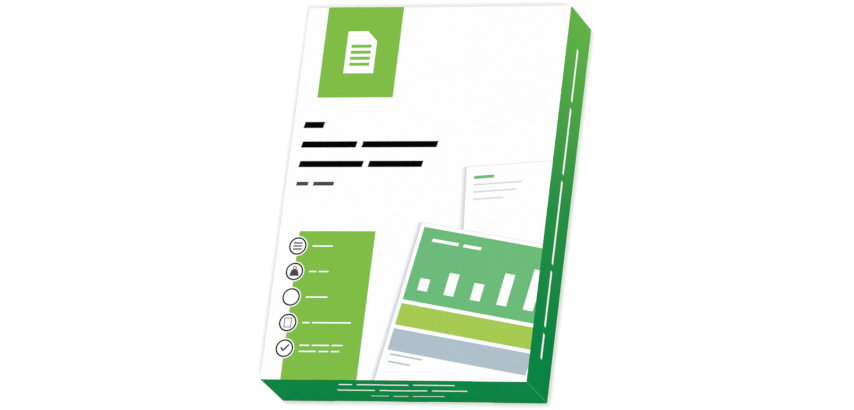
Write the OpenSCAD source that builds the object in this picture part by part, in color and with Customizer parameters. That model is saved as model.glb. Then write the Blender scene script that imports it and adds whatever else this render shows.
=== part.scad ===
// Sealed ream of A4 office paper in a printed paper wrapper.
// The pack lies on its underside. X runs across the sheets, Y along them and Z up through the stack.
// The wrapper is one sheet of paper: a sleeve that laps along the underside, closed at both ends by
// side tucks, a lower flap and an upper flap, folded in that order and glued.
// Print is shown as fields of colour, each a little higher than the paper or print under it.

/* [Sheets] */
// Width of one sheet, along X
sheet_w = 210; // [200:1:220]
// Length of one sheet, along Y
sheet_l = 297; // [280:1:310]
// Height of the stack of 500 sheets
stack_h = 50; // [46:0.5:60]

/* [Wrapper] */
// Thickness of one layer of wrapper paper, with its coating and glue
paper_t = 0.12; // [0.08:0.01:0.2]
// Outer radius of the wrapper where it turns an edge of the stack
fold_r = 0.8; // [0.6:0.1:1.6]
// Depth of the tucks and flaps beyond the end of the stack
flap_d = 44; // [38:0.5:45]
// Width of the lap along the underside
lap_w = 25; // [15:1:40]
// Distance of the middle of the lap from the middle of the pack
lap_x = 0; // [-30:1:30]

/* [Columns and title] */
// Height that one field of print stands above what it is printed on
ink_t = 0.04; // [0.02:0.01:0.08]
// Distance of the two green columns from the left edge of a sheet
column_inset = 16.5; // [14:0.5:25]
// Width of the green columns
column_w = 60.5; // [50:0.5:66]
// Length of the far column, which runs off the far edge
block_l = 73; // [65:0.5:80]
// Length of the near column, which runs off the near edge
panel_l = 117; // [112:0.5:125]
// Height of the page symbol on the far column
symbol_l = 34; // [26:0.5:40]
// Left end of the title bars, from the left edge of a sheet
title_inset = 8.5; // [6:0.5:12]
// Distance of the first title line from the far edge of a sheet
title_drop = 95; // [90:0.5:100]
// Distance from one title line to the next
title_pitch = 15.7; // [12:0.1:18]
// Height of a title bar
title_h = 5; // [3:0.5:7]
// Height of the thin bars under the title
subtitle_h = 3; // [1.5:0.1:4]

/* [Badges] */
// Radius of a badge's ring
badge_r = 7; // [5:0.25:8]
// Width of the white border round a badge
badge_border = 0.9; // [0.5:0.1:2]
// Width of a badge's ring
ring_w = 0.9; // [0.5:0.1:1.2]
// Distance of the first badge from the far edge of its column
badge_drop = 11.8; // [10:0.1:14]
// Distance from one badge to the next
badge_pitch = 20.2; // [19:0.1:22]
// Gap between a badge's ring and its caption
caption_gap = 4.6; // [2:0.1:7]
// Height of a caption bar
caption_h = 1.5; // [1:0.1:3]
// Distance from one line of a caption to the next
caption_pitch = 4.8; // [3.5:0.1:6]

/* [Picture] */
// Width of the sheet that lies in front in the picture
page_w = 118; // [105:1:130]
// Turn of that sheet, clockwise
page_tilt = 10; // [5:1:14]
// Distance of its highest corner from the left edge of the pack's own sheets
page_x = 113; // [105:1:118]
// Distance of its highest corner from their near edge
page_y = 124; // [115:1:130]
// White border round the colours on it, and white gap between them
page_border = 3; // [2:0.5:5]
// Height of its green field
field_h = 58; // [50:1:65]
// Height of the lime band and of the grey band
band_h = 17; // [12:0.5:20]
// Width of a column of its chart
chart_w = 8; // [5:0.5:10]
// Height of the tallest column of the chart
chart_h = 32; // [20:1:40]
// Distance of the chart from the left edge and from the far edge of the green field
chart_inset = 9; // [5:0.5:15]
// Turn of the sheet that lies behind, counter-clockwise
back_tilt = 4; // [0:1:8]
// Distance of its far left corner from the left edge of the pack's own sheets
back_x = 143; // [135:1:150]
// Distance of its far left corner from their near edge
back_y = 168; // [160:1:175]
// Width of the grey edge that sets a pictured sheet off from the ground
outline_w = 0.5; // [0.3:0.1:1]
// Height of the heading bars on the pictured sheets
heading_h = 2.4; // [1.5:0.1:3.5]
// Height of the small bars on them
line_h = 1.2; // [0.8:0.1:2]
// Distance from one row of those bars to the next
line_pitch = 5.8; // [4:0.1:8]

/* [Print on the walls] */
// Height of the bars along the right wall
wall_bar_h = 4.5; // [3:0.5:10]
// Gap between the bars along the right wall
wall_bar_gap = 5; // [3:0.5:8]
// Height of the bars across the near end
end_bar_h = 3; // [2:0.5:6]
// Height of the thin bars across the near end
thin_bar_h = 1.5; // [1:0.5:4]
// Distance from one row of bars on the near end to the next
end_pitch = 13; // [10:0.5:15]
// Distance of the middle row above the middle of the pack
end_rise = 2; // [0:0.5:3]
// Gap between the bars of any other row
bar_gap = 3.5; // [2:0.5:5]
// Slant of the ends of every bar
slant = 12; // [0:1:20]
// Number of colour steps along a long wall
wall_steps = 9; // [5:1:15]

/* [Hidden] */
fold_fn = 24;
round_fn = 48;
// Layers of wrapper paper on an end, from the side tucks alone to both flaps over the folded tucks
tuck_layers = 1;
closed_layers = 2;
gusset_layers = 3;
corner_layers = 5;
// Outside of the wrapper
wrap_w = sheet_w + 2 * paper_t;
wrap_l = sheet_l + 2 * corner_layers * paper_t;
wrap_z = stack_h + 3 * paper_t;
// The wrapper's ground colours meet halfway down each fold
edge_drop = fold_r / 2;
base_z = paper_t + edge_drop;
brim_z = wrap_z - edge_drop;
// Places on the front face
left_x = -sheet_w / 2;
far_y = sheet_l / 2;
near_y = -sheet_l / 2;
column_x = left_x + column_inset;
panel_y = near_y + panel_l;
title_x = left_x + title_inset;
title_y = far_y - title_drop;
// Colours of the print
white = [1, 1, 1];
black = [0.05, 0.05, 0.05];
grey = [0.3, 0.3, 0.31];
pale_grey = [0.86, 0.86, 0.86];
column_green = [0.5, 0.74, 0.28];
far_green = [0.36, 0.7, 0.27];
near_green = [0.05, 0.51, 0.26];
mid_green = [0.42, 0.73, 0.48];
lime = [0.64, 0.8, 0.31];
steel_grey = [0.69, 0.75, 0.79];
// Lengths of the bars in each row
title_rows = [[17], [45, 61], [52, 44]];
subtitle_row = [10, 17];
caption_rows = [[[16.5]], [[6, 8]], [[17.5]], [[6, 31]], [[8, 14, 9], [14, 8, 7]]];
wall_row = [20, 44, 66, 53, 42];
end_rows = [[11, 41, 33], [30, 38, 28], [14, 12, 25]];
back_rows = [[16], [38], [34], [24]];
field_row = [22, 15];
foot_rows = [[26], [18]];
// Heights of the chart's columns, as shares of the tallest
chart = [0.3, 0.55, 0.42, 0.78, 1];

// Where bar i starts in a row of bars
function bar_start(row, gap, i) = i == 0 ? 0 : bar_start(row, gap, i - 1) + row[i - 1] + gap;
// Length of a whole row of bars
function row_length(row, gap) = bar_start(row, gap, len(row)) - gap;
// Colour of the long walls at step i from the near end
function wall_green(i) = near_green + (far_green - near_green) * i / (wall_steps - 1);

// Rectangle about the origin with its corners rounded to the fold's radius
module folded_outline(a, b) {
    square([a - 2 * fold_r, b], center = true);
    square([a, b - 2 * fold_r], center = true);
    for (sx = [-1, 1], sy = [-1, 1])
        translate([sx * (a / 2 - fold_r), sy * (b / 2 - fold_r)])
            circle(fold_r, $fn = fold_fn);
}

// Pack with rounded folds and so many layers of paper on its ends and underside, raised by a lift
module block(end_layers, under_layers = 1, lift = 0) {
    low_z = (2 - under_layers) * paper_t;
    l = sheet_l + 2 * end_layers * paper_t;
    h = wrap_z + lift - low_z;
    translate([0, 0, low_z + h / 2])
        intersection() {
            linear_extrude(h, center = true) folded_outline(wrap_w, l);
            rotate([90, 0, 0]) linear_extrude(l, center = true) folded_outline(wrap_w, h);
            rotate([90, 0, 90]) linear_extrude(wrap_w, center = true) folded_outline(l, h);
        }
}

// Region of an end, carried through the pack so that both ends are so many layers thick there
module on_ends(layers, under_layers = 1) {
    intersection() {
        block(layers, under_layers);
        rotate([90, 0, 0]) linear_extrude(2 * wrap_l, center = true) children();
    }
}

// Flap that hangs from a fold at height z and narrows at 45 degrees, down for dir -1 and up for 1
module flap(z, dir) {
    polygon([
        [-wrap_w / 2, z],
        [wrap_w / 2, z],
        [wrap_w / 2 - flap_d, z + dir * flap_d],
        [-wrap_w / 2 + flap_d, z + dir * flap_d]
    ]);
}

module upper_flap() {
    flap(wrap_z, -1);
}

module lower_flap() {
    flap(0, 1);
}

// Part of an end that the two side tucks reach
module tucks() {
    for (sx = [-1, 1])
        translate([sx * (wrap_w - flap_d) / 2, wrap_z / 2])
            square([flap_d, wrap_z], center = true);
}

// Lap of the sleeve, seen from an end
module lap() {
    translate([lap_x - lap_w / 2, 0]) square([lap_w, wrap_z]);
}

// Part of an end where one flap lies over the other
module both_flaps() {
    intersection() {
        upper_flap();
        lower_flap();
    }
}

// The sleeve round the stack, with its lap standing out by one layer along the underside
module sleeve() {
    block(tuck_layers);
    on_ends(tuck_layers, 2) lap();
}

// The sleeve with both ends folded shut. The flaps are one layer each. Over a side tuck each flap
// has a gusset under it, and the lap adds a layer to the lower flap.
module folded_wrapper() {
    sleeve();
    on_ends(closed_layers) both_flaps();
    on_ends(gusset_layers)
        intersection() {
            tucks();
            union() {
                upper_flap();
                lower_flap();
            }
        }
    on_ends(corner_layers)
        intersection() {
            tucks();
            both_flaps();
        }
    on_ends(closed_layers, 2)
        intersection() {
            lap();
            lower_flap();
        }
    on_ends(gusset_layers, 2)
        intersection() {
            lap();
            both_flaps();
        }
}

// Length along Y where colour step i of the walls starts
function wall_y(i) = wrap_l * (i / wall_steps - 0.5);

// One ground colour of what it is given, from step i0 to step i1 and between two heights
module ground(colour, i0, i1, z0, z1) {
    color(colour)
        intersection() {
            children();
            rotate([90, 0, 90])
                linear_extrude(wrap_w, center = true)
                    polygon([[wall_y(i0), z0], [wall_y(i1), z0], [wall_y(i1), z1], [wall_y(i0), z1]]);
        }
}

// White front face and underside, and green walls that turn lighter in steps towards the far end.
// The first and the last step hold the folded ends.
module wrapper() {
    last = wall_steps - 1;
    ground(white, 0, wall_steps, 0, base_z) folded_wrapper();
    ground(white, 0, wall_steps, brim_z, wrap_z) folded_wrapper();
    ground(near_green, 0, 1, base_z, brim_z) folded_wrapper();
    ground(far_green, last, wall_steps, base_z, brim_z) folded_wrapper();
    for (i = [1 : last - 1])
        ground(wall_green(i), i, i + 1, base_z, brim_z) sleeve();
}

// Flat shape printed on the front face, cut off halfway down the folds
module front_print(colour, level) {
    color(colour)
        intersection() {
            block(tuck_layers, 1, level * ink_t);
            translate([0, 0, brim_z]) linear_extrude(fold_r) children();
        }
}

// Row of slanted bars, with the middle of their left end at the origin
module bars(row, h, gap = bar_gap) {
    s = h * tan(slant);
    for (i = [0 : len(row) - 1])
        translate([bar_start(row, gap, i), -h / 2])
            polygon([[0, 0], [row[i] - s, 0], [row[i], h], [s, h]]);
}

// Row of bars with its middle at x = 0
module centred_bars(row, h) {
    translate([-row_length(row, bar_gap) / 2, 0]) bars(row, h);
}

// Page with a turned-down corner, about the origin
module page_symbol(l) {
    w = l * sheet_w / sheet_l;
    corner = w / 3;
    rule_w = w - corner;
    rule_h = l / 14;
    rule_pitch = 2 * rule_h;
    difference() {
        polygon([
            [-w / 2, -l / 2],
            [w / 2, -l / 2],
            [w / 2, l / 2 - corner],
            [w / 2 - corner, l / 2],
            [-w / 2, l / 2]
        ]);
        for (i = [-2 : 1])
            translate([0, i * rule_pitch]) square([rule_w, rule_h], center = true);
    }
}

module columns() {
    front_print(column_green, 1) {
        translate([column_x, far_y - block_l]) square([column_w, block_l + fold_r]);
        translate([column_x, near_y - fold_r]) square([column_w, panel_l + fold_r]);
    }
    front_print(white, 2)
        translate([column_x + column_w / 2, far_y - block_l / 2]) page_symbol(symbol_l);
}

module title() {
    front_print(black, 1)
        for (i = [0 : len(title_rows) - 1])
            translate([title_x, title_y - i * title_pitch]) bars(title_rows[i], title_h);
    front_print(grey, 1)
        translate([title_x, title_y - len(title_rows) * title_pitch]) bars(subtitle_row, subtitle_h);
}

// Signs on the badges, drawn about the origin for a ring of radius 1
module stack_sign() {
    for (i = [-1 : 1])
        translate([0, i * 0.34]) square([1, 0.16], center = true);
}

module weight_sign() {
    polygon([[-0.55, -0.5], [0.55, -0.5], [0.34, 0.22], [-0.34, 0.22]]);
    translate([0, 0.4])
        difference() {
            circle(0.22, $fn = round_fn);
            circle(0.12, $fn = round_fn);
        }
}

module sheet_sign() {
    difference() {
        square([0.86, 1.1], center = true);
        square([0.68, 0.92], center = true);
    }
}

module tick_sign() {
    polygon([[-0.5, 0.02], [-0.36, 0.16], [-0.12, -0.1], [0.42, 0.5], [0.56, 0.36], [-0.12, -0.38]]);
}

// Sign of badge i: the middle one stays blank, for plain white paper
module sign(i) {
    scale(badge_r)
        if (i == 0) stack_sign();
        else if (i == 1) weight_sign();
        else if (i == 3) sheet_sign();
        else if (i == 4) tick_sign();
}

// Places what it is given once for each badge, with $badge as its number
module at_badges() {
    for (i = [0 : len(caption_rows) - 1])
        translate([column_x, panel_y - badge_drop - i * badge_pitch]) {
            $badge = i;
            children();
        }
}

module badges() {
    front_print(white, 2) at_badges() circle(badge_r + badge_border, $fn = round_fn);
    front_print(grey, 3)
        at_badges() {
            difference() {
                circle(badge_r, $fn = round_fn);
                circle(badge_r - ring_w, $fn = round_fn);
            }
            sign($badge);
        }
    front_print(white, 2)
        at_badges() {
            rows = caption_rows[$badge];
            for (i = [0 : len(rows) - 1])
                translate([badge_r + caption_gap, ((len(rows) - 1) / 2 - i) * caption_pitch])
                    bars(rows[i], caption_h, bar_gap / 2);
        }
}

// Places what it is given on the pictured front sheet, from its far left corner
module on_front_page() {
    translate([left_x + page_x, near_y + page_y]) rotate(-page_tilt) children();
}

// Places what it is given on the sheet behind it
module on_back_page() {
    translate([left_x + back_x, near_y + back_y]) rotate(back_tilt) children();
}

// Pictured sheet of the pack's own format, from its far left corner, grown by a rim on every side
module page(rim = 0) {
    l = page_w * sheet_l / sheet_w;
    translate([-rim, -l - rim]) square([page_w + 2 * rim, l + 2 * rim]);
}

module page_edge() {
    page(outline_w);
}

// Keeps what it is given clear of the front sheet
module behind_front_page() {
    difference() {
        children();
        on_front_page() page_edge();
    }
}

// Row i of small bars on a pictured sheet, set in from its corner by the border
module page_row(row, i, h) {
    translate([2 * page_border, -page_border - i * line_pitch]) bars(row, h);
}

module back_page() {
    front_print(pale_grey, 1) behind_front_page() on_back_page() page_edge();
    front_print(white, 2) behind_front_page() on_back_page() page();
    front_print(mid_green, 3) behind_front_page() on_back_page() page_row(back_rows[0], 1, heading_h);
    front_print(pale_grey, 3)
        behind_front_page()
            on_back_page()
                for (i = [1 : len(back_rows) - 1])
                    page_row(back_rows[i], i + 1, line_h);
}

// Column chart in the near half of the green field, with its tallest column on the right
module chart_columns() {
    pitch = (page_w - 2 * page_border - 2 * chart_inset - chart_w) / (len(chart) - 1);
    for (i = [0 : len(chart) - 1])
        translate([i * pitch, 0]) square([chart_w, chart[i] * chart_h]);
}

// Band across a pictured sheet, inside its border, from the given distance below its far edge
module band(colour, y, h) {
    front_print(colour, 3)
        on_front_page() translate([page_border, -y - h]) square([page_w - 2 * page_border, h]);
}

// Green field with a chart, a lime band, a grey band and small bars under them
module front_page() {
    lime_y = 2 * page_border + field_h;
    steel_y = lime_y + band_h + page_border;
    foot_y = steel_y + band_h;
    front_print(pale_grey, 1) on_front_page() page_edge();
    front_print(white, 2) on_front_page() page();
    band(mid_green, page_border, field_h);
    band(lime, lime_y, band_h);
    band(steel_grey, steel_y, band_h);
    front_print(white, 4)
        on_front_page()
            translate([page_border + chart_inset, -page_border - chart_inset]) {
                bars(field_row, heading_h);
                translate([0, 2 * chart_inset - field_h]) chart_columns();
            }
    front_print(steel_grey, 3)
        on_front_page()
            for (i = [0 : len(foot_rows) - 1])
                translate([0, -foot_y]) page_row(foot_rows[i], i, line_h);
}

// Bars along the right wall
module wall_print() {
    color(white)
        translate([wrap_w / 2 - paper_t, -row_length(wall_row, wall_bar_gap) / 2, wrap_z / 2])
            rotate([90, 0, 90])
                linear_extrude(paper_t + ink_t) bars(wall_row, wall_bar_h, wall_bar_gap);
}

// Three rows of bars across the near end, the last one thin
module end_rows_outline() {
    for (i = [0 : len(end_rows) - 1])
        translate([0, wrap_z / 2 + end_rise + (1 - i) * end_pitch])
            centred_bars(end_rows[i], i < 2 ? end_bar_h : thin_bar_h);
}

// Flat shape printed on the near end, where it is so many layers thick
module end_print(layers) {
    translate([0, -sheet_l / 2, 0])
        rotate([90, 0, 0])
            linear_extrude(layers * paper_t + ink_t) children();
}

module near_end_print() {
    color(white) {
        end_print(closed_layers) end_rows_outline();
        end_print(gusset_layers)
            intersection() {
                end_rows_outline();
                lap();
            }
    }
}

module wrapped_ream() {
    wrapper();
    columns();
    title();
    badges();
    back_page();
    front_page();
    wall_print();
    near_end_print();
}

wrapped_ream();
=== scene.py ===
"""Looks of a sealed ream of A4 office paper, which lies on its underside in a printed wrapper."""

import math

import bmesh
import bpy
from mathutils import Matrix, Vector

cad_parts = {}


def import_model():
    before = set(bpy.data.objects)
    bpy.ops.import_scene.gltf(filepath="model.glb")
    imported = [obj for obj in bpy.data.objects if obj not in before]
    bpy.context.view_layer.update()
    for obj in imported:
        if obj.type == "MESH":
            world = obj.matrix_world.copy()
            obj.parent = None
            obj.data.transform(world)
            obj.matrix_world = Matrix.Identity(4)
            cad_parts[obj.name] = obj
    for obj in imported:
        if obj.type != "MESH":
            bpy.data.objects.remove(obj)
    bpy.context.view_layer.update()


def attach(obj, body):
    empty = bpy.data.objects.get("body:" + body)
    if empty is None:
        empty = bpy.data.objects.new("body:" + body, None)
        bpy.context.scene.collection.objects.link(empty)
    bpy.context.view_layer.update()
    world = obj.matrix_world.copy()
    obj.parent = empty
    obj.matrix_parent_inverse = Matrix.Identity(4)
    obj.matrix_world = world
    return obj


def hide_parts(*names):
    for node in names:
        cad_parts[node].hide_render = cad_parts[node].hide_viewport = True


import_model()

# Sizes are in millimetres and in the CAD model's frame. MM turns them into metres
MM = 0.001

# The pack
SHEET_W = 210.0
SHEET_L = 297.0
STACK_H = 50.0
PAPER_T = 0.12
FOLD_R = 0.8
FLAP_D = 44.0
LAP_W = 25.0
PACK_W = SHEET_W + 2 * PAPER_T
SLEEVE_L = SHEET_L + 2 * PAPER_T
PACK_H = STACK_H + 3 * PAPER_T
LEFT = -SHEET_W / 2
FAR = SHEET_L / 2
NEAR = -SHEET_L / 2

# Mesh of the wrapper: steps round a quarter turn of a fold, and the relief of a paper edge. A free
# edge is a crisp step, an edge under one more layer is a soft ramp, and a side tuck's is wider yet
FOLD_STEPS = 8
EDGE_W = 0.08
SOFT_EDGE_W = 1.4
SOFT_EDGE_STEPS = 4
TUCK_EDGE_W = 3.2
TUCK_EDGE_STEPS = 6
SHARP_ANGLE = math.radians(32)

# Thickness of one layer of print, and how deep the print starts inside the paper
INK_T = 0.02
INK_SINK = 0.01

# How close two points of flat artwork are when they are welded, and how close to a cut a point is
# when it counts as on it
WELD_DISTANCE = 1e-4
CUT_TOLERANCE = 1e-5

# How far a face's direction may be off, and still count as along an axis or as square to it
OFF_AXIS = 0.01

# Colours of the print, in sRGB
PAPER_WHITE = (248, 248, 248)
CUT_WHITE = (236, 236, 232)
COLUMN_GREEN = (126, 186, 69)
WALL_FAR = (99, 180, 71)
WALL_MIDDLE = (35, 145, 67)
WALL_NEAR = (1, 133, 65)
CREASE_GREEN = (30, 143, 78)
# Paler green of the broken line along the upright folds
FOLD_LINE_GREEN = (104, 225, 167)
MID_GREEN = (106, 184, 120)
LIME = (163, 198, 80)
STEEL_GREY = (173, 189, 199)
PALE_GREY = (212, 214, 216)
GREY = (72, 71, 75)
BLACK = (4, 4, 5)
SHADOW_GREY = (205, 208, 214)

# Finish of the paper. A noise is given by its waves a metre, its detail and its seed, and a tone is
# how far the colour darkens in the mottle. Depths are in metres
COCKLE = (16.0, 1.0, 3.0)
COCKLE_DEPTH = 0.00035
FIBRES = (900.0, 4.0, 7.0)
FIBRE_DEPTH = 0.000012
GLOSS_MOTTLE = (260.0, 2.0, 11.0)
TONE_MOTTLE = (260.0, 5.0, 17.0)
MOTTLE_RANGE = (0.3, 0.7)
PAPER_ROUGHNESS = 0.6
INK_ROUGHNESS = 0.5
ROUGHNESS_SPREAD = 0.04
SPECULAR = 0.002
PAPER_TONE = 0.012
INK_TONE = 0.035
WALL_TONE = 0.03

# Green of the walls, at shares of the way from the near end to the far end
WALL_STOPS = ((0.14, WALL_NEAR), (0.5, WALL_MIDDLE), (1.0, WALL_FAR))

# Paler green line along the upright folds, broken up by a noise. Halfway round one, the X and Y of
# the surface's direction multiply to 0.5
FOLD_LINE_RANGE = (0.44, 0.5)
FOLD_LINE_STRENGTH = 0.52
FOLD_LINE_NOISE = (700.0, 3.0, 23.0)
FOLD_LINE_NOISE_RANGE = (0.35, 0.6)
FOLD_LINE_LEAST = 0.3

# Printed shade beside a pictured sheet, at shares of its width
SHADE_STOPS = ((0.0, SHADOW_GREY), (0.9, PAPER_WHITE))

# Layout of the print: the bars that stand in for words
BAR_SLANT = math.radians(12)
BAR_GAP = 3.5

# The two green columns, and the symbol on the far one
COLUMN_X = LEFT + 16.5
COLUMN_W = 60.5
BLOCK_L = 73.0
PANEL_L = 117.0
SYMBOL_L = 34.0

# The title
TITLE_X = LEFT + 8.5
TITLE_Y = FAR - 95.0
TITLE_PITCH = 15.7
TITLE_H = 5.0
SUBTITLE_H = 3.0
TITLE_ROWS = ([17], [45, 61], [52, 44])
SUBTITLE_ROW = [10, 17]

# The badges down the near column, and their captions
BADGE_R = 7.0
BADGE_BORDER = 0.9
RING_W = 1.2
BADGE_DROP = 11.8
BADGE_PITCH = 20.2
CAPTION_GAP = 4.6
CAPTION_H = 1.1
CAPTION_BAR_GAP = 1.75
CAPTION_PITCH = 4.8
CAPTION_ROWS = ([[16.5]], [[6, 8]], [[17.5]], [[6, 31]], [[8, 14, 9], [14, 8, 7]])

# The pictured sheets. Each is placed by its far left corner and turned anticlockwise about it
PAGE_W = 118.0
PAGE_TURN = math.radians(-10)
PAGE_AT = (LEFT + 113, NEAR + 124)
PAGE_BORDER = 3.0
BACK_TURN = math.radians(4)
BACK_AT = (LEFT + 143, NEAR + 168)
OUTLINE_W = 0.3
SHADE_W = 5.0

# What is on them: a field with a column chart, bands and bars. CHART holds the height of each
# column as a share of CHART_H
FIELD_H = 58.0
BAND_H = 17.0
CHART = (0.3, 0.55, 0.42, 0.78, 1.0)
CHART_W = 8.0
CHART_H = 32.0
CHART_INSET = 9.0
FIELD_ROW = [22, 15]
FOOT_ROWS = ([26], [18])
BACK_ROWS = ([16], [38], [34], [24])
HEADING_H = 2.4
LINE_H = 1.2
LINE_PITCH = 5.8

# The right wall, and the near end with the height of each row's bars
WALL_ROW = [20, 44, 66, 53, 42]
WALL_BAR_H = 3.4
WALL_BAR_GAP = 5.0
END_ROWS = (([11, 41, 33], 2.0), ([30, 38, 28], 2.0), ([14, 12, 25], 1.0))
END_PITCH = 13.0
END_RISE = 2.0

# Camera, fitted to the corners of the pack in the photograph. It stands at a place in metres, and
# its focal length is in pixels of the photograph
IMAGE_W = 854
FOCAL_PX = 6750.68
SENSOR_W = 36.0
CLIP_END = 50.0
CAMERA_AT = Vector((1.72853396, -1.63737899, 4.4834473))
CAMERA_RIGHT = Vector((0.93971699, 0.11773205, -0.32104695))
CAMERA_DOWN = Vector((-6.821e-05, -0.93879775, -0.34446883))
CAMERA_VIEW = Vector((-0.34195318, 0.32372511, -0.88219617))

# Studio. The floor lights the object with its colour, and is seen in its tint, with a glow. The
# tint is a faint painted pink, which takes out of the floor's shadows the green light that the
# walls throw on it
WORLD_LIGHT = 0.33
FLOOR_HALF = 10.0
FLOOR_COLOUR = (0.94, 0.94, 0.94)
FLOOR_TINT = (0.95, 0.895, 0.94)
FLOOR_GLOW = 0.17

# Lamps: name, azimuth anticlockwise from +X, elevation, strength and angular size, in degrees
LAMPS = (
    ("front_light", -45.2, 57.8, 1.0, 4.0),
    ("top_light", 134.5, 86.0, 1.24, 6.0),
    ("fill_light", -45.0, 12.0, 0.95, 25.0),
)


def linear(rgb):
    """Colour for a shader socket, from sRGB values of 0 to 255."""
    parts = [c / 255 for c in rgb]
    return [c / 12.92 if c <= 0.04045 else ((c + 0.055) / 1.055) ** 2.4 for c in parts] + [1.0]


def clamp(value):
    return max(0.0, min(1.0, value))


def smooth(value):
    value = clamp(value)
    return value * value * (3 - 2 * value)


def spread(width, count):
    """Evenly spread places from 0 to a width."""
    return [width * i / count for i in range(count + 1)]


# Materials


class Nodes:
    """Node tree of a material or a world. What a node is given is a socket or a constant."""

    def __init__(self, owner):
        owner.use_nodes = True
        self.nodes = owner.node_tree.nodes
        self.links = owner.node_tree.links

    def give(self, node, inputs):
        for name, value in inputs.items():
            if isinstance(value, bpy.types.NodeSocket):
                self.links.new(value, node.inputs[name])
            else:
                node.inputs[name].default_value = value
        return node

    def add(self, kind, inputs=None, **settings):
        node = self.nodes.new(kind)
        for name, value in settings.items():
            setattr(node, name, value)
        return self.give(node, inputs or {})

    def maths(self, operation, *values, **settings):
        inputs = dict(enumerate(values))
        node = self.add("ShaderNodeMath", inputs, operation=operation, **settings)
        return node.outputs["Value"]

    def ranged(self, value, low, high, to_low, to_high):
        """Value taken from one range to another, and kept within it."""
        ranges = {"From Min": low, "From Max": high, "To Min": to_low, "To Max": to_high}
        return self.add("ShaderNodeMapRange", {"Value": value, **ranges}).outputs["Result"]

    def mixed(self, factor, a, b, blend="MIX"):
        """Mix of two colours."""
        inputs = {"Factor": factor, "A": a, "B": b}
        node = self.add("ShaderNodeMix", inputs, data_type="RGBA", blend_type=blend)
        return node.outputs["Result"]

    def ramp(self, value, stops, interpolation="LINEAR"):
        """Colours between two or more stops, each a place and an sRGB colour."""
        node = self.add("ShaderNodeValToRGB", {"Fac": value})
        node.color_ramp.interpolation = interpolation
        elements = node.color_ramp.elements
        for i, (place, rgb) in enumerate(stops):
            element = elements[i] if i < len(elements) else elements.new(place)
            element.position = place
            element.color = linear(rgb)
        return node.outputs["Color"]


class Paper(Nodes):
    """Material of a coated paper surface, printed or bare."""

    def __init__(self, name, roughness):
        self.material = bpy.data.materials.new(name)
        super().__init__(self.material)
        coordinates = self.add("ShaderNodeTexCoord").outputs
        self.place = coordinates["Object"]
        self.direction = coordinates["Normal"]
        self.shader = self.nodes["Principled BSDF"]
        self.give(self.shader, {"Specular IOR Level": SPECULAR})
        self.finish(roughness)

    def noise(self, scale, detail, seed):
        inputs = {"Vector": self.place, "Scale": scale, "Detail": detail, "W": seed}
        return self.add("ShaderNodeTexNoise", inputs, noise_dimensions="4D").outputs["Fac"]

    def bump(self, height, depth, under=None):
        """Relief, laid over the relief under it."""
        inputs = {"Height": height, "Distance": depth}
        if under:
            inputs["Normal"] = under
        return self.add("ShaderNodeBump", inputs).outputs["Normal"]

    def finish(self, roughness):
        """Faint cockle and fibre relief, and a roughness that varies a little."""
        cockle = self.bump(self.noise(*COCKLE), COCKLE_DEPTH)
        fibres = self.bump(self.noise(*FIBRES), FIBRE_DEPTH, cockle)
        low, high = roughness - ROUGHNESS_SPREAD, roughness + ROUGHNESS_SPREAD
        uneven = self.ranged(self.noise(*GLOSS_MOTTLE), *MOTTLE_RANGE, low, high)
        self.give(self.shader, {"Normal": fibres, "Roughness": uneven})

    def coloured(self, value, tone):
        """The material, with a colour that is finely uneven in tone."""
        mottle = self.ranged(self.noise(*TONE_MOTTLE), *MOTTLE_RANGE, 1 - tone, 1.0)
        grey = self.add("ShaderNodeCombineColor", dict.fromkeys(("Red", "Green", "Blue"), mottle))
        uneven = self.mixed(1.0, value, grey.outputs["Color"], "MULTIPLY")
        self.give(self.shader, {"Base Color": uneven})
        return self.material


def bare_paper(name, rgb):
    return Paper(name, PAPER_ROUGHNESS).coloured(linear(rgb), PAPER_TONE)


def ink(name, rgb):
    return Paper(name, INK_ROUGHNESS).coloured(linear(rgb), INK_TONE)


def wall_ink():
    """Green that turns lighter towards the far end, and paler in a broken line along the upright
    folds.
    """
    paper = Paper("wall_green", INK_ROUGHNESS)
    place = paper.add("ShaderNodeSeparateXYZ", {"Vector": paper.place}).outputs
    along = paper.ranged(place["Y"], NEAR * MM, FAR * MM, 0.0, 1.0)
    green = paper.ramp(along, WALL_STOPS)
    direction = paper.add("ShaderNodeSeparateXYZ", {"Vector": paper.direction}).outputs
    fold = paper.maths("ABSOLUTE", paper.maths("MULTIPLY", direction["X"], direction["Y"]))
    # Paler green in a line along each upright fold, where the surface faces halfway between two
    # walls, broken up by a noise
    crease = paper.ranged(fold, *FOLD_LINE_RANGE, 0.0, FOLD_LINE_STRENGTH)
    fold_line_breakup = paper.ranged(paper.noise(*FOLD_LINE_NOISE), *FOLD_LINE_NOISE_RANGE, FOLD_LINE_LEAST, 1.0)
    fold_line = paper.maths("MULTIPLY", crease, fold_line_breakup)
    return paper.coloured(paper.mixed(fold_line, green, linear(FOLD_LINE_GREEN)), WALL_TONE)


def printed_shade(name, corner, turn):
    """Soft printed shade that fades away from the left edge of a pictured sheet."""
    paper = Paper(name, PAPER_ROUGHNESS)
    outwards = Vector((-math.cos(turn), -math.sin(turn), 0))
    inputs = {0: paper.place, 1: outwards}
    across = paper.add("ShaderNodeVectorMath", inputs, operation="DOT_PRODUCT").outputs["Value"]
    start = outwards.dot(Vector((*corner, 0))) * MM
    fade = paper.ranged(across, start, start + SHADE_W * MM, 0.0, 1.0)
    return paper.coloured(paper.ramp(fade, SHADE_STOPS, "EASE"), PAPER_TONE)


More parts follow.
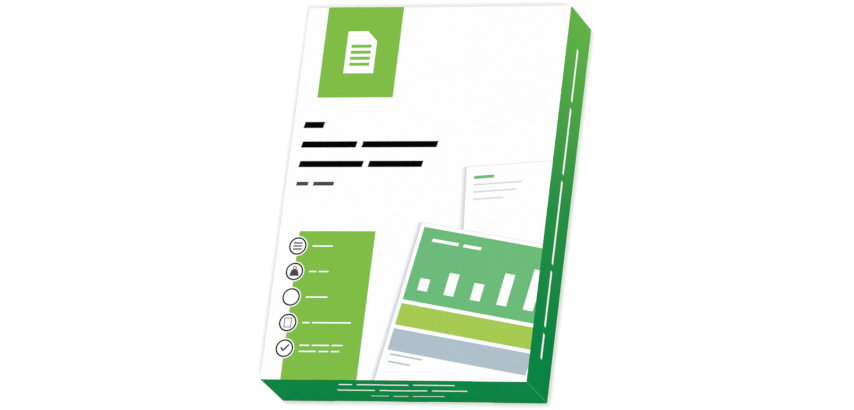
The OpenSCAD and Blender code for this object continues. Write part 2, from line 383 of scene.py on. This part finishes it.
MATERIALS = {
    "paper": bare_paper("wrapper_white", PAPER_WHITE),
    "cut_edge": bare_paper("paper_edge", CUT_WHITE),
    "white_ink": bare_paper("bare_print", PAPER_WHITE),
    "wall": wall_ink(),
    "crease": ink("crease_green", CREASE_GREEN),
    "column_green": ink("column_green", COLUMN_GREEN),
    "mid_green": ink("mid_green", MID_GREEN),
    "lime": ink("lime", LIME),
    "steel_grey": ink("steel_grey", STEEL_GREY),
    "pale_grey": ink("pale_grey", PALE_GREY),
    "grey": ink("grey", GREY),
    "black": ink("black", BLACK),
    "front_shade": printed_shade("front_shade", PAGE_AT, PAGE_TURN),
    "back_shade": printed_shade("back_shade", BACK_AT, BACK_TURN),
}
WRAPPER_MATERIALS = ("paper", "wall", "crease", "cut_edge")


# Mesh


def cut(bm, faces, point, normal, clear=False):
    """Cuts faces along a plane, and drops what lies on its outer side if told to.

    Edges and points are kept in order, so that each run gives the same mesh.
    """
    edges = dict.fromkeys(e for f in faces for e in f.edges)
    verts = dict.fromkeys(v for f in faces for v in f.verts)
    plane = {"dist": CUT_TOLERANCE, "plane_co": point, "plane_no": normal}
    bmesh.ops.bisect_plane(bm, geom=[*verts, *edges, *faces], clear_outer=clear, **plane)


def finished(name, bm, materials):
    """Turns a bmesh into a piece of the object that rides on its body."""
    mesh = bpy.data.meshes.new(name)
    bm.to_mesh(mesh)
    bm.free()
    piece = bpy.data.objects.new(name, mesh)
    bpy.context.scene.collection.objects.link(piece)
    for material in materials:
        mesh.materials.append(material)
    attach(piece, "root")
    return piece


# The wrapper


def flap_edges(x, z):
    """How far a point of an end lies inside each layer: side tuck, upper and lower flap, lap."""
    tuck = abs(x) - (PACK_W / 2 - FLAP_D)
    upper = min((PACK_W / 2 - (PACK_H - z) - abs(x)) / math.sqrt(2), z - (PACK_H - FLAP_D))
    lower = min((PACK_W / 2 - z - abs(x)) / math.sqrt(2), FLAP_D - z)
    lap = LAP_W / 2 - abs(x)
    return tuck, upper, lower, lap


def layers(x, z):
    """Layers of paper on an end, where hidden edges show as ramps through the paper over them."""
    tuck_in, upper_in, lower_in, lap_in = flap_edges(x, z)
    tuck = smooth(tuck_in / TUCK_EDGE_W)
    upper = clamp(upper_in / EDGE_W)
    lower = smooth(lower_in / SOFT_EDGE_W) if upper > 0.5 else clamp(lower_in / EDGE_W)
    lap = smooth(lap_in / SOFT_EDGE_W)
    return tuck + (1 + tuck) * (upper + lower) + lap * lower


def folded(point):
    """A point of the plain sleeve, moved out by the layers of paper under it."""
    x, y, z = point
    end = clamp((abs(y) - (SLEEVE_L / 2 - FOLD_R)) / FOLD_R)
    out = (layers(x, z) - 1) * PAPER_T * end
    under = clamp((PAPER_T + FOLD_R - z) / FOLD_R)
    lap = clamp((LAP_W / 2 - x) / EDGE_W) * smooth((LAP_W / 2 + x) / SOFT_EDGE_W)
    return Vector((x, y + math.copysign(out, y), z - lap * PAPER_T * under)) * MM


def sleeve_ring(bm, polar, z, pole):
    """One ring of the plain sleeve's points. At the top and the bottom each corner is one point."""
    ring = []
    for quarter in range(4):
        sx = 1 if quarter in (0, 3) else -1
        sy = 1 if quarter in (0, 1) else -1
        centre = Vector((sx * (PACK_W / 2 - FOLD_R), sy * (SLEEVE_L / 2 - FOLD_R), z))
        for i in range(FOLD_STEPS + 1):
            turn = (quarter + i / FOLD_STEPS) * math.pi / 2
            out = math.sin(polar)
            away = Vector((math.cos(turn) * out, math.sin(turn) * out, math.cos(polar)))
            if pole and i:
                ring.append(ring[-1])
            else:
                ring.append(bm.verts.new(centre + FOLD_R * away))
    return ring


def sleeve(bm):
    """Closed box with rounded folds, made ring by ring from the front face to the underside."""
    rings = []
    for first, z in ((0, PACK_H - FOLD_R), (FOLD_STEPS, PAPER_T + FOLD_R)):
        for k in range(first, first + FOLD_STEPS + 1):
            polar = k * math.pi / 2 / FOLD_STEPS
            rings.append(sleeve_ring(bm, polar, z, k in (0, 2 * FOLD_STEPS)))
    for above, below in zip(rings, rings[1:]):
        for j in range(len(above)):
            j1 = (j + 1) % len(above)
            corners = list(dict.fromkeys((above[j], below[j], below[j1], above[j1])))
            if len(corners) > 2:
                bm.faces.new(corners)
    bm.faces.new(list(dict.fromkeys(rings[0])))
    bm.faces.new(list(dict.fromkeys(reversed(rings[-1]))))


def end_cuts():
    """Lines in the plane of an end, each a point and a normal, along every edge and ramp there."""
    slant = math.sqrt(0.5)
    crisp = [0.0, EDGE_W]
    soft = spread(SOFT_EDGE_W, SOFT_EDGE_STEPS)
    both = crisp + soft[1:]
    tuck = spread(TUCK_EDGE_W, TUCK_EDGE_STEPS)
    lines = []
    for side in (-1, 1):
        lines += [((side * (PACK_W / 2 - FLAP_D + s), 0), (1, 0)) for s in tuck]
        lines += [((side * (LAP_W / 2 - s), 0), (1, 0)) for s in soft]
        lines += [((side * (PACK_W / 2 - s / slant), PACK_H), (side, -1)) for s in crisp]
        lines += [((side * (PACK_W / 2 - s / slant), 0), (side, 1)) for s in both]
    lines += [((0, PACK_H - FLAP_D + s), (0, 1)) for s in crisp]
    lines += [((0, FLAP_D - s), (0, 1)) for s in both]
    return lines


def wrapper_slot(face):
    """Index of a wrapper face's material, from its place and direction on the plain sleeve.

    White goes halfway round the folds, and right round those of the front face that the
    photograph hides.
    """
    centre, normal = face.calc_center_median(), face.normal
    halfway = math.cos(math.pi / 4)
    hidden_side = normal.x < -OFF_AXIS or normal.y > OFF_AXIS
    if normal.z > (OFF_AXIS if hidden_side else halfway) or normal.z < -halfway:
        free_edge = 0 < LAP_W / 2 - centre.x < EDGE_W and centre.z < PACK_H / 2
        return WRAPPER_MATERIALS.index("cut_edge" if free_edge else "paper")
    if abs(normal.y) > 1 - OFF_AXIS:
        _, upper, lower, _ = flap_edges(centre.x, centre.z)
        if 0 < upper < EDGE_W:
            free_edge = centre.z - (PACK_H - FLAP_D) < EDGE_W
            return WRAPPER_MATERIALS.index("cut_edge" if free_edge else "crease")
        if 0 < lower < EDGE_W and upper < 0:
            return WRAPPER_MATERIALS.index("crease")
    return WRAPPER_MATERIALS.index("wall")


def wrapper():
    """The wrapper as one closed sheet of paper round the stack."""
    bm = bmesh.new()
    sleeve(bm)
    end_y = SLEEVE_L / 2 - FOLD_R
    for (x, z), (nx, nz) in end_cuts():
        ends = [f for f in bm.faces if abs(f.calc_center_median().y) > end_y]
        cut(bm, ends, (x, 0, z), (nx, 0, nz))
    lap_edge = spread(SOFT_EDGE_W, SOFT_EDGE_STEPS)
    for x in [LAP_W / 2, LAP_W / 2 - EDGE_W] + [s - LAP_W / 2 for s in lap_edge]:
        underside = [f for f in bm.faces if f.calc_center_median().z < PAPER_T + FOLD_R]
        cut(bm, underside, (x, 0, 0), (1, 0, 0))
    bmesh.ops.recalc_face_normals(bm, faces=bm.faces)
    for face in bm.faces:
        face.smooth = True
        face.material_index = wrapper_slot(face)
    for vert in bm.verts:
        vert.co = folded(vert.co)
    bm.normal_update()
    for edge in bm.edges:
        edge.smooth = edge.calc_face_angle(0) < SHARP_ANGLE
    piece = finished("wrapper", bm, [MATERIALS[name] for name in WRAPPER_MATERIALS])
    even = piece.modifiers.new("even_shading", "WEIGHTED_NORMAL")
    even.keep_sharp = True
    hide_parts("wrapped_ream")


# Print: each side of the pack maps a point of its flat artwork to the folded wrapper


def on_front(u, v, height):
    """Front face, which bends down round the folds at its edges."""
    over_x = max(0.0, abs(u) - (PACK_W / 2 - FOLD_R))
    over_y = max(0.0, abs(v) - (SLEEVE_L / 2 - FOLD_R))
    depth = math.sqrt(max(0.0, FOLD_R**2 - over_x**2 - over_y**2))
    away = Vector((math.copysign(over_x, u), math.copysign(over_y, v), depth)) / FOLD_R
    point = Vector((u, v, PACK_H - FOLD_R + depth))
    return folded(point) + away * height * MM


def on_right_wall(u, v, height):
    return Vector((PACK_W / 2 + height, u, v)) * MM


def on_near_end(u, v, height):
    return folded(Vector((u, -SLEEVE_L / 2, v))) - Vector((0, height, 0)) * MM


def front_cuts(bm):
    """Cuts artwork along the lines where the paper bends, and off where it may reach no further.

    That is halfway round the folds of the right wall and the near end, and right round the others.
    """
    for side, steps in ((1, FOLD_STEPS // 2), (-1, FOLD_STEPS)):
        for k in range(steps + 1):
            over = FOLD_R * math.sin(k * math.pi / 2 / FOLD_STEPS)
            x = side * (PACK_W / 2 - FOLD_R + over)
            y = -side * (SLEEVE_L / 2 - FOLD_R + over)
            cut(bm, bm.faces[:], (x, 0, 0), (side, 0, 0), k == steps)
            cut(bm, bm.faces[:], (0, y, 0), (0, -side, 0), k == steps)
    for side in (-1, 1):
        for s in spread(TUCK_EDGE_W, TUCK_EDGE_STEPS):
            cut(bm, bm.faces[:], (side * (PACK_W / 2 - FLAP_D + s), 0, 0), (1, 0, 0))


def near_end_cuts(bm):
    for (x, z), (nx, nz) in end_cuts():
        cut(bm, bm.faces[:], (x, z, 0), (nx, nz, 0))


SIDES = {
    "front": (on_front, front_cuts),
    "right_wall": (on_right_wall, lambda bm: None),
    "near_end": (on_near_end, near_end_cuts),
}


def field(name, outlines, material, level=1, side="front"):
    """Field of print: flat outlines laid on a side of the wrapper, so many layers of print high."""
    place, cuts = SIDES[side]
    flat = bmesh.new()
    for outline in outlines:
        flat.faces.new([flat.verts.new((u, v, 0)) for u, v in outline])
    bmesh.ops.remove_doubles(flat, verts=flat.verts, dist=WELD_DISTANCE)
    bmesh.ops.recalc_face_normals(flat, faces=flat.faces)
    if sum(f.normal.z for f in flat.faces) < 0:
        bmesh.ops.reverse_faces(flat, faces=flat.faces)
    cuts(flat)
    flat.verts.index_update()
    solid = bmesh.new()
    low = [solid.verts.new(place(v.co.x, v.co.y, -INK_SINK)) for v in flat.verts]
    high = [solid.verts.new(place(v.co.x, v.co.y, level * INK_T)) for v in flat.verts]
    for face in flat.faces:
        ids = [v.index for v in face.verts]
        solid.faces.new([high[i] for i in ids])
        solid.faces.new([low[i] for i in reversed(ids)])
        for loop in face.loops:
            if len(loop.edge.link_faces) == 1:
                a, b = loop.vert.index, loop.link_loop_next.vert.index
                solid.faces.new([low[a], low[b], high[b], high[a]])
    flat.free()
    bmesh.ops.recalc_face_normals(solid, faces=solid.faces)
    finished(name, solid, [MATERIALS[material]])


# Shapes of the artwork


def moved(outline, dx=0.0, dy=0.0, turn=0.0):
    """Outline turned about the origin and then moved."""
    c, s = math.cos(turn), math.sin(turn)
    return [(dx + c * x - s * y, dy + s * x + c * y) for x, y in outline]


def every(outlines, dx=0.0, dy=0.0, turn=0.0):
    """All outlines of a group, turned and moved together."""
    return [moved(outline, dx, dy, turn) for outline in outlines]


def rectangle(x0, y0, x1, y1):
    return [(x0, y0), (x1, y0), (x1, y1), (x0, y1)]


def disc(radius, count=64):
    turns = [i * math.tau / count for i in range(count)]
    return [(radius * math.cos(turn), radius * math.sin(turn)) for turn in turns]


def band(outer, inner):
    """Band between two outlines of as many points, as a run of four-sided shapes."""
    count = len(outer)
    pairs = [(i, (i + 1) % count) for i in range(count)]
    return [[outer[i], outer[j], inner[j], inner[i]] for i, j in pairs]


def ring(outer_r, inner_r):
    return band(disc(outer_r), disc(inner_r))


def bars(row, height, gap=BAR_GAP, centred=False):
    """Slanted bars of one row, which starts or has its middle at the origin."""
    lean = height * math.tan(BAR_SLANT)
    x = -(sum(row) + gap * (len(row) - 1)) / 2 if centred else 0.0
    h = height / 2
    outlines = []
    for length in row:
        outlines.append([(x, -h), (x + length - lean, -h), (x + length, h), (x + lean, h)])
        x += length + gap
    return outlines


# The front face


def columns():
    """Green columns, which run on over the folds at both ends of the front face."""
    x0, x1 = COLUMN_X, COLUMN_X + COLUMN_W
    field("far_column", [rectangle(x0, FAR - BLOCK_L, x1, FAR + FOLD_R)], "column_green")
    field("near_column", [rectangle(x0, NEAR - FOLD_R, x1, NEAR + PANEL_L)], "column_green")


def page_symbol():
    """White page with a third of its width turned down at a corner, and four lines of print."""
    w = SYMBOL_L * SHEET_W / SHEET_L
    h = SYMBOL_L
    fold = w / 3
    line_h = h / 14
    corner = [(w / 2, h / 2 - fold), (w / 2 - fold, h / 2)]
    page = [(-w / 2, -h / 2), (w / 2, -h / 2), *corner, (-w / 2, h / 2)]
    heights = [2 * line_h * i for i in range(-2, 2)]
    lines = [rectangle(-fold, y - line_h / 2, fold, y + line_h / 2) for y in heights]
    centre = (COLUMN_X + COLUMN_W / 2, FAR - BLOCK_L / 2)
    field("page_symbol", [moved(page, *centre)], "white_ink", 2)
    field("page_symbol_lines", every(lines, *centre), "column_green", 3)


def title():
    rows = []
    for i, row in enumerate(TITLE_ROWS):
        rows += every(bars(row, TITLE_H), TITLE_X, TITLE_Y - i * TITLE_PITCH)
    field("title_bars", rows, "black")
    y = TITLE_Y - len(TITLE_ROWS) * TITLE_PITCH
    field("subtitle_bars", every(bars(SUBTITLE_ROW, SUBTITLE_H), TITLE_X, y), "grey")


def signs():
    """Signs of the badges, for a badge of radius 1. The middle badge stays blank."""
    heights = [0.34 * i for i in (-1, 0, 1)]
    stack = [rectangle(-0.5, y - 0.08, 0.5, y + 0.08) for y in heights]
    body = [(-0.55, -0.5), (0.55, -0.5), (0.34, 0.22), (-0.34, 0.22)]
    weight = [body] + every(ring(0.22, 0.12), 0, 0.4)
    sheet = band(rectangle(-0.43, -0.55, 0.43, 0.55), rectangle(-0.34, -0.46, 0.34, 0.46))
    tick = [
        [(-0.5, 0.02), (-0.12, -0.38), (-0.12, -0.1), (-0.36, 0.16)],
        [(-0.12, -0.38), (0.56, 0.36), (0.42, 0.5), (-0.12, -0.1)],
    ]
    return (stack, weight, [], sheet, tick)


def badges():
    halos, rings, marks, captions = [], [], [], []
    for i, (rows, sign) in enumerate(zip(CAPTION_ROWS, signs())):
        x, y = COLUMN_X, NEAR + PANEL_L - BADGE_DROP - i * BADGE_PITCH
        halos.append(moved(disc(BADGE_R + BADGE_BORDER), x, y))
        rings += every(ring(BADGE_R, BADGE_R - RING_W), x, y)
        marks += every([[(BADGE_R * u, BADGE_R * v) for u, v in shape] for shape in sign], x, y)
        for j, row in enumerate(rows):
            rise = ((len(rows) - 1) / 2 - j) * CAPTION_PITCH
            line = bars(row, CAPTION_H, CAPTION_BAR_GAP)
            captions += every(line, x + BADGE_R + CAPTION_GAP, y + rise)
    field("badge_grounds", halos, "white_ink", 2)
    field("badge_rings", rings, "black", 3)
    field("badge_signs", marks, "grey", 3)
    field("caption_bars", captions, "white_ink", 2)


def page_outline(rim=0.0):
    length = PAGE_W * SHEET_L / SHEET_W
    return rectangle(-rim, -length - rim, PAGE_W + rim, rim)


def page_shade():
    return rectangle(-SHADE_W, -PAGE_W * SHEET_L / SHEET_W, 0, 0)


def page_rows(rows, first, height, drop=0.0):
    """Rows of bars down a pictured sheet, from the given row on."""
    outlines = []
    for i, row in enumerate(rows):
        y = -drop - PAGE_BORDER - (first + i) * LINE_PITCH
        outlines += every(bars(row, height), 2 * PAGE_BORDER, y)
    return outlines


def back_page():
    at = (*BACK_AT, BACK_TURN)
    field("back_sheet_shade", [moved(page_shade(), *at)], "back_shade", 1)
    field("back_sheet_edge", [moved(page_outline(OUTLINE_W), *at)], "pale_grey", 2)
    field("back_sheet", [moved(page_outline(), *at)], "white_ink", 3)
    heading = page_rows(BACK_ROWS[:1], 1, HEADING_H)
    lines = page_rows(BACK_ROWS[1:], 2, LINE_H)
    field("back_heading", every(heading, *at), "mid_green", 4)
    field("back_bars", every(lines, *at), "pale_grey", 4)


def front_page():
    at = (*PAGE_AT, PAGE_TURN)
    lime_y = 2 * PAGE_BORDER + FIELD_H
    steel_y = lime_y + BAND_H + PAGE_BORDER
    right = PAGE_W - PAGE_BORDER
    field("front_sheet_shade", [moved(page_shade(), *at)], "front_shade", 1)
    field("front_sheet_edge", [moved(page_outline(OUTLINE_W), *at)], "pale_grey", 5)
    field("front_sheet", [moved(page_outline(), *at)], "white_ink", 6)
    for name, material, y, h in (
        ("chart_field", "mid_green", PAGE_BORDER, FIELD_H),
        ("lime_band", "lime", lime_y, BAND_H),
        ("grey_band", "steel_grey", steel_y, BAND_H),
    ):
        field(name, [moved(rectangle(PAGE_BORDER, -y - h, right, -y), *at)], material, 7)
    inset = PAGE_BORDER + CHART_INSET
    pitch = (PAGE_W - 2 * inset - CHART_W) / (len(CHART) - 1)
    foot = CHART_INSET - PAGE_BORDER - FIELD_H
    chart = []
    for i, share in enumerate(CHART):
        x = inset + i * pitch
        chart.append(rectangle(x, foot, x + CHART_W, foot + share * CHART_H))
    heading = every(bars(FIELD_ROW, HEADING_H), inset, -inset)
    lines = page_rows(FOOT_ROWS, 0, LINE_H, steel_y + BAND_H)
    field("chart_columns", every(chart, *at), "white_ink", 8)
    field("field_bars", every(heading, *at), "white_ink", 8)
    field("foot_bars", every(lines, *at), "steel_grey", 7)


# The right wall and the near end


def wall_bars():
    row = bars(WALL_ROW, WALL_BAR_H, WALL_BAR_GAP, centred=True)
    field("wall_bars", every(row, 0, PACK_H / 2), "white_ink", side="right_wall")


def end_bars():
    rows = []
    for i, (row, height) in enumerate(END_ROWS):
        y = PACK_H / 2 + END_RISE + (1 - i) * END_PITCH
        rows += every(bars(row, height, centred=True), 0, y)
    field("end_bars", rows, "white_ink", side="near_end")


# Camera, floor and light


def camera():
    data = bpy.data.cameras.new("camera")
    data.lens = FOCAL_PX * SENSOR_W / IMAGE_W
    data.sensor_width = SENSOR_W
    data.clip_end = CLIP_END
    view = bpy.data.objects.new("camera", data)
    turn = Matrix((CAMERA_RIGHT, -CAMERA_DOWN, -CAMERA_VIEW)).transposed()
    view.matrix_world = Matrix.Translation(CAMERA_AT) @ turn.to_4x4()
    bpy.context.scene.collection.objects.link(view)
    bpy.context.scene.camera = view


def seen_directly(tree):
    """1 for rays that see the background or its mirror image, and 0 for the object's light."""
    path = tree.add("ShaderNodeLightPath").outputs
    total = path["Is Camera Ray"]
    for name in ("Is Glossy Ray", "Is Transmission Ray"):
        total = tree.maths("ADD", total, path[name], use_clamp=True)
    return total


def world():
    studio = bpy.data.worlds.new("studio")
    tree = Nodes(studio)
    strength = tree.maths("MULTIPLY_ADD", seen_directly(tree), 1 - WORLD_LIGHT, WORLD_LIGHT)
    tree.give(tree.nodes["Background"], {"Color": (1, 1, 1, 1), "Strength": strength})
    bpy.context.scene.world = studio


def floor_material():
    material = bpy.data.materials.new("floor")
    tree = Nodes(material)
    tree.nodes.remove(tree.nodes["Principled BSDF"])
    seen = seen_directly(tree)
    # Seen directly, the floor is a faint painted pink, which takes the walls' green light out of
    # its shadows
    tint = tree.mixed(seen, (*FLOOR_COLOUR, 1), (*FLOOR_TINT, 1))
    matt = tree.add("ShaderNodeBsdfDiffuse", {"Color": tint})
    glow = tree.add("ShaderNodeEmission", {"Strength": tree.maths("MULTIPLY", seen, FLOOR_GLOW)})
    both = tree.add("ShaderNodeAddShader", {0: matt.outputs["BSDF"], 1: glow.outputs["Emission"]})
    tree.give(tree.nodes["Material Output"], {"Surface": both.outputs["Shader"]})
    return material


def floor():
    bm = bmesh.new()
    bmesh.ops.create_grid(bm, x_segments=1, y_segments=1, size=FLOOR_HALF)
    mesh = bpy.data.meshes.new("floor")
    bm.to_mesh(mesh)
    bm.free()
    mesh.materials.append(floor_material())
    ground = bpy.data.objects.new("floor", mesh)
    bpy.context.scene.collection.objects.link(ground)


def sun(name, azimuth, elevation, strength, angle):
    """Soft lamp that shines from an azimuth and an elevation, in degrees."""
    data = bpy.data.lights.new(name, "SUN")
    data.energy = strength
    data.angle = math.radians(angle)
    lamp = bpy.data.objects.new(name, data)
    a, e = math.radians(azimuth), math.radians(elevation)
    towards = Vector((math.cos(a) * math.cos(e), math.sin(a) * math.cos(e), math.sin(e)))
    lamp.rotation_euler = towards.to_track_quat("Z", "Y").to_euler()
    bpy.context.scene.collection.objects.link(lamp)


bpy.context.scene.view_settings.view_transform = "Standard"
camera()
world()
floor()
for lamp in LAMPS:
    sun(*lamp)
wrapper()
columns()
page_symbol()
title()
badges()
back_page()
front_page()
wall_bars()
end_bars()
